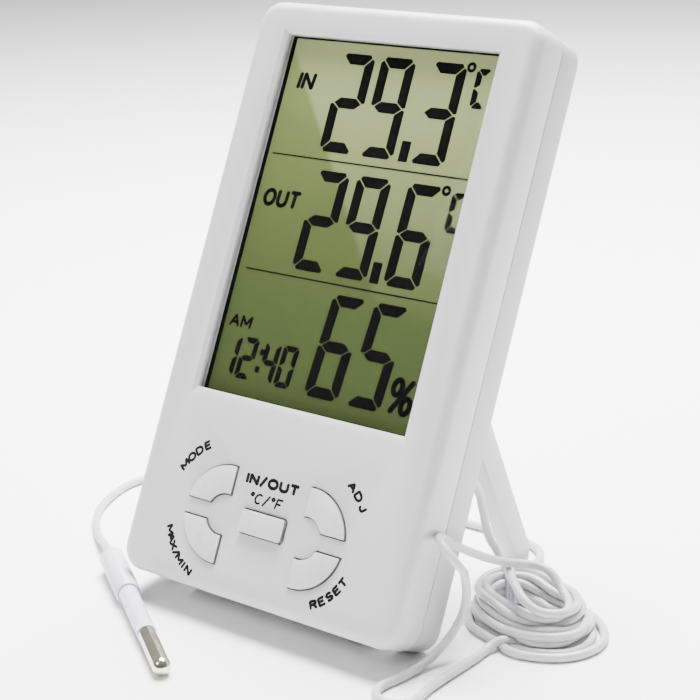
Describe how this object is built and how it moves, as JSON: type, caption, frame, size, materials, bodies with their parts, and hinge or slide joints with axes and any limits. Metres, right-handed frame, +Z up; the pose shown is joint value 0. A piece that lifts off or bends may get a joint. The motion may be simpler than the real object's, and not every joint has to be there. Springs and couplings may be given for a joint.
{
  "type": "maximum minimum thermometer",
  "caption": "Digital indoor and outdoor thermometer with maximum and minimum memory, a tall display, push keys, a folding stand and a cabled probe.",
  "frame": {"origin": "under the middle of the case and stand, on the surface they stand on", "axes": "+Z up, +X to the reader's right, the display faces -Y and leans back 26 degrees"},
  "size_m": [0.165, 0.1117, 0.1421],
  "materials": {
    "front_shell": "satin moulded ABS, fine eggshell texture",
    "rear_shell": "satin moulded ABS",
    "key_plastic": "smooth moulded ABS",
    "clear_window": "clear polished acrylic",
    "lcd_glass": "yellow-green reflective liquid crystal panel",
    "reflector": "foil",
    "contact_rubber": "layered conductive rubber",
    "board": "green solder mask",
    "black_part": "moulded black",
    "sensor_white": "matt moulded",
    "bright_metal": "polished steel",
    "battery_skin": "plain printed foil",
    "cable_jacket": "soft vinyl, slightly glossy",
    "probe_plastic": "smooth moulded, faint lilac white"
  },
  "bodies": {
    "case": {"front_cover": "front_shell", "rear_cover": "rear_shell", "display_lens": "clear_window", "lcd_panel": "lcd_glass", "lcd_reflector": "reflector", "zebra_strip_bottom": "contact_rubber", "zebra_strip_top": "contact_rubber", "circuit_board": "board", "chip_blob": "black_part", "timing_crystal": "bright_metal", "humidity_sensor": "sensor_white", "buzzer": "black_part", "room_thermistor": "black_part", "switch_mode": "black_part", "switch_adjust": "black_part", "switch_max_min": "black_part", "switch_reset": "black_part", "switch_unit": "black_part", "battery": "battery_skin", "battery_contact": "bright_metal", "battery_spring": "bright_metal", "screw_1": "bright_metal", "screw_2": "bright_metal", "screw_3": "bright_metal", "screw_4": "bright_metal", "cable_gland": "cable_jacket", "cable_lead": "cable_jacket", "cable_hank": "cable_jacket", "cable_loop": "cable_jacket", "cable_tail": "cable_jacket", "probe_sleeve": "probe_plastic", "probe_neck": "probe_plastic", "probe_cap": "bright_metal"},
    "stand_body": {"stand": "rear_shell"},
    "door_body": {"battery_door": "rear_shell"},
    "mode_key": {"button_mode": "key_plastic"},
    "adjust_key": {"button_adjust": "key_plastic"},
    "max_min_key": {"button_max_min": "key_plastic"},
    "reset_key": {"button_reset": "key_plastic"},
    "unit_key": {"button_unit": "key_plastic"}
  },
  "joints": [
    {"name": "stand_hinge", "type": "hinge", "parent": "case", "child": "stand_body", "pos_m": [0, 0.00297, 0.06193], "axis": [1, 0, 0], "range_deg": [-50.2, 0]},
    {"name": "battery_door_slide", "type": "slide", "parent": "case", "child": "door_body", "axis": [0, 0.8988, -0.4384], "range_m": [0, 0.012]},
    {"name": "mode_press", "type": "slide", "parent": "case", "child": "mode_key", "axis": [0, 0.8988, -0.4384], "range_m": [0, 0.0008], "stiffness_N_per_m": 300},
    {"name": "adjust_press", "type": "slide", "parent": "case", "child": "adjust_key", "axis": [0, 0.8988, -0.4384], "range_m": [0, 0.0008], "stiffness_N_per_m": 300},
    {"name": "max_min_press", "type": "slide", "parent": "case", "child": "max_min_key", "axis": [0, 0.8988, -0.4384], "range_m": [0, 0.0008], "stiffness_N_per_m": 300},
    {"name": "reset_press", "type": "slide", "parent": "case", "child": "reset_key", "axis": [0, 0.8988, -0.4384], "range_m": [0, 0.0008], "stiffness_N_per_m": 300},
    {"name": "unit_press", "type": "slide", "parent": "case", "child": "unit_key", "axis": [0, 0.8988, -0.4384], "range_m": [0, 0.0008], "stiffness_N_per_m": 300}
  ]
}
